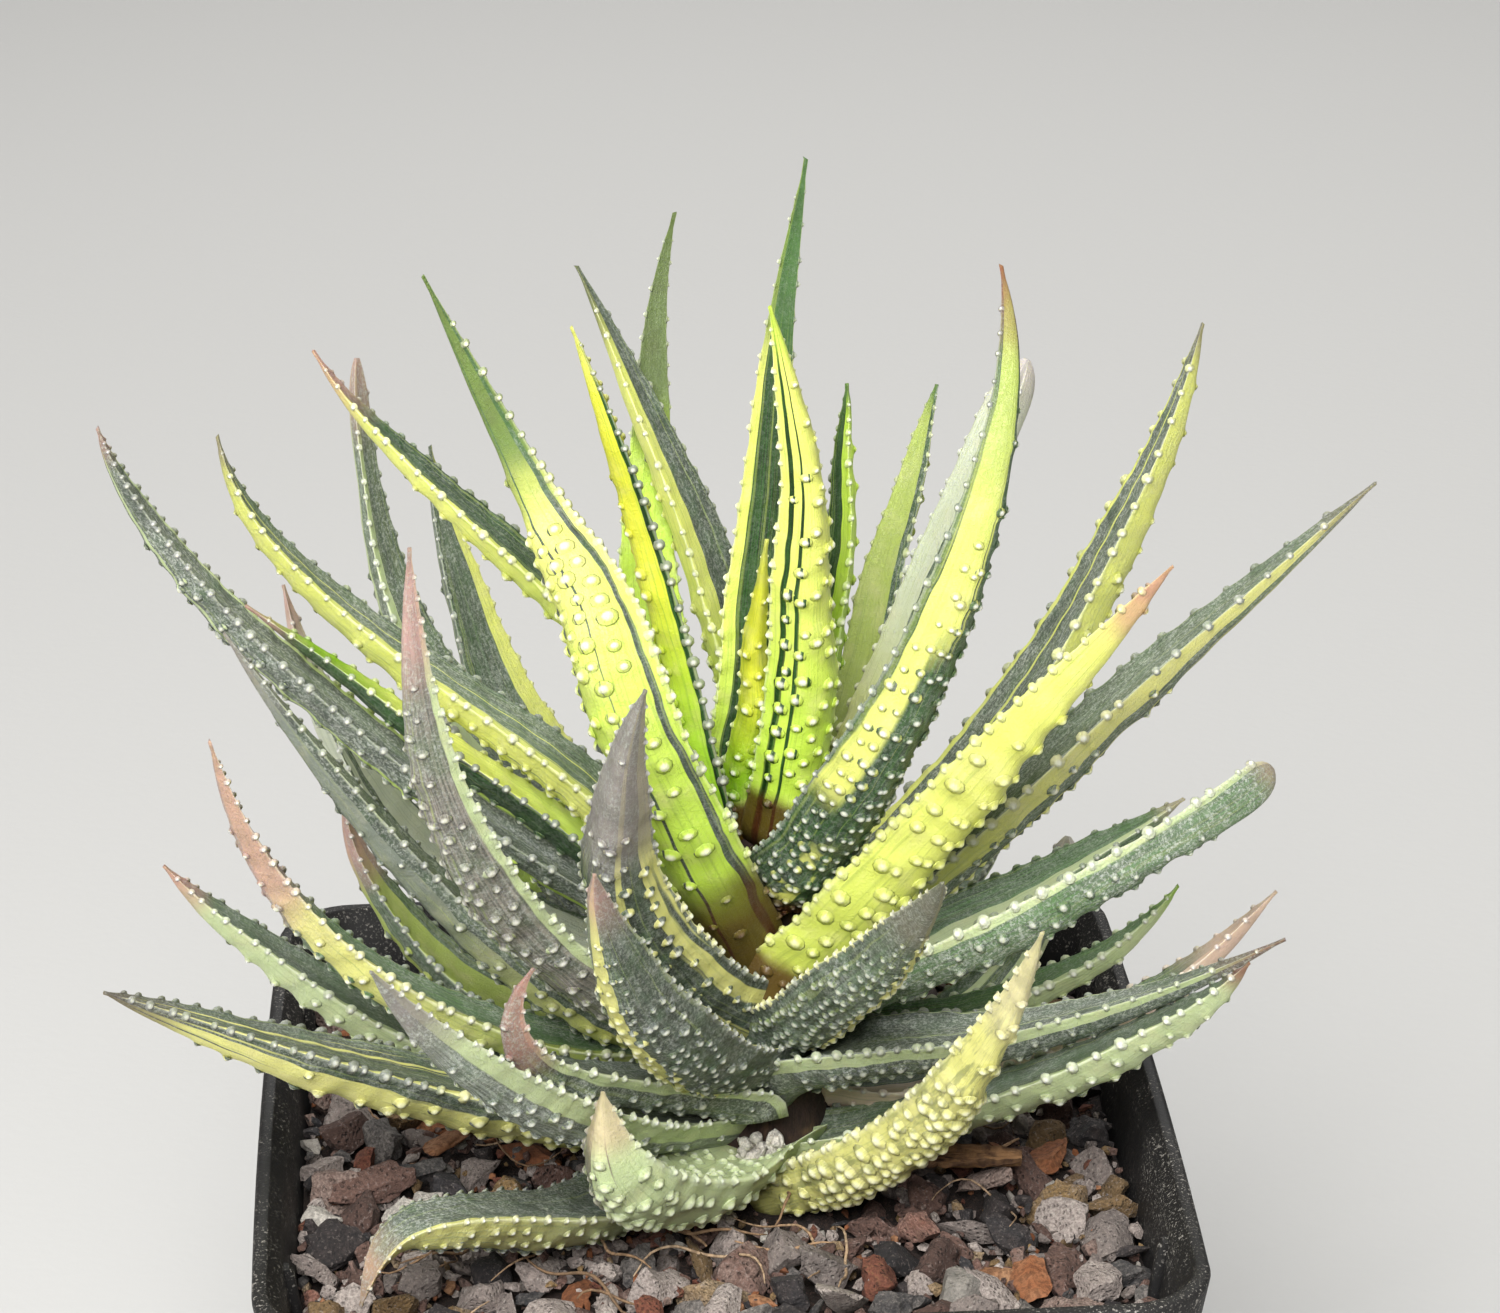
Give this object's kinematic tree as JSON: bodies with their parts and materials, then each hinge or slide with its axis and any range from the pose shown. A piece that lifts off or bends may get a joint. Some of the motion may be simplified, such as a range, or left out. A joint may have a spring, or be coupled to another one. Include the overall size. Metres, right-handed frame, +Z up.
{
  "type": "potted haworthia",
  "caption": "Spiky rosette of long tapering striped leaves with raised pale tubercles, growing in gritty substrate in a square black plastic nursery pot.",
  "frame": {"origin": "middle of the pot's flat underside, which rests on the surface it stands on", "axes": "+Z up out of the pot, +X to the right and -Y to the front, both square to the pot's sides"},
  "size_m": [0.1143, 0.0926, 0.165],
  "materials": {
    "pot": "matte",
    "grit": "matte",
    "stem_bark": "matte",
    "dry_leaf": "matte",
    "leaf_outer": "satin",
    "leaf_middle": "satin",
    "leaf_heart": "satin"
  },
  "bodies": {
    "root": {"pot": "pot", "substrate": "grit", "stem": "stem_bark", "dry_leaf": "dry_leaf", "leaf_01": "leaf_outer", "leaf_02": "leaf_outer", "leaf_03": "leaf_outer", "leaf_04": "leaf_outer", "leaf_05": "leaf_outer", "leaf_06": "leaf_outer", "leaf_07": "leaf_outer", "leaf_08": "leaf_outer", "leaf_09": "leaf_outer", "leaf_10": "leaf_outer", "leaf_11": "leaf_outer", "leaf_12": "leaf_outer", "leaf_13": "leaf_outer", "leaf_14": "leaf_outer", "leaf_15": "leaf_outer", "leaf_16": "leaf_outer", "leaf_17": "leaf_outer", "leaf_18": "leaf_middle", "leaf_19": "leaf_middle", "leaf_20": "leaf_middle", "leaf_21": "leaf_middle", "leaf_22": "leaf_middle", "leaf_23": "leaf_middle", "leaf_24": "leaf_middle", "leaf_25": "leaf_middle", "leaf_26": "leaf_middle", "leaf_27": "leaf_middle", "leaf_28": "leaf_middle", "leaf_29": "leaf_middle", "leaf_30": "leaf_middle", "leaf_31": "leaf_middle", "leaf_32": "leaf_middle", "leaf_33": "leaf_middle", "leaf_34": "leaf_middle", "leaf_35": "leaf_middle", "leaf_36": "leaf_heart", "leaf_37": "leaf_heart", "leaf_38": "leaf_heart", "leaf_39": "leaf_heart", "leaf_40": "leaf_heart", "leaf_41": "leaf_heart", "leaf_42": "leaf_heart", "leaf_43": "leaf_heart", "leaf_44": "leaf_heart", "leaf_45": "leaf_heart", "leaf_46": "leaf_heart", "leaf_47": "leaf_heart", "leaf_48": "leaf_heart", "leaf_49": "leaf_heart", "leaf_50": "leaf_heart", "leaf_51": "leaf_heart", "leaf_52": "leaf_heart"}
  },
  "joints": []
}
